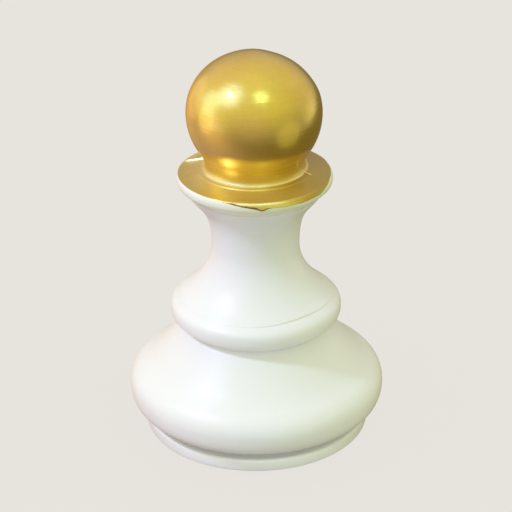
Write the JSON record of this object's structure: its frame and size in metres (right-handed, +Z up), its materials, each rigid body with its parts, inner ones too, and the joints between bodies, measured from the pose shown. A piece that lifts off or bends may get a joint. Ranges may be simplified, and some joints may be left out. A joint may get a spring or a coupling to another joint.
{
  "type": "chess pawn",
  "caption": "Stout decorative chess pawn: gold-painted ball head and collar on a white waisted stem, flared skirt, wide bulb and thin round foot, weighted and felted underneath.",
  "frame": {"origin": "centre of the felt pad's lower face, on the surface the pawn stands on", "axes": "+Z up along the pawn's axis of revolution; +X and +Y are horizontal, and the reference picture looks along +Y"},
  "size_m": [0.1036, 0.1036, 0.159],
  "materials": {
    "gold_paint": "brushed-on satin gold paint over cast resin",
    "gold_collar_paint": "brushed-on satin gold paint on the top, satin white under the rim, over cast resin",
    "white_paint": "satin-gloss white paint over cast resin",
    "felt": "short pressed wool felt",
    "ballast_iron": "as cast, dark",
    "zinc_steel": "bright zinc plate",
    "brass": "turned brass"
  },
  "bodies": {
    "root": {"head_ball": "gold_paint", "collar_ring": "gold_collar_paint", "stem_skirt": "white_paint", "base_bulb": "white_paint", "foot_plate": "white_paint", "felt_pad": "felt", "ballast_weight": "ballast_iron", "tie_rod": "zinc_steel", "base_nut": "zinc_steel", "base_washer": "zinc_steel", "head_insert": "brass"}
  },
  "joints": []
}
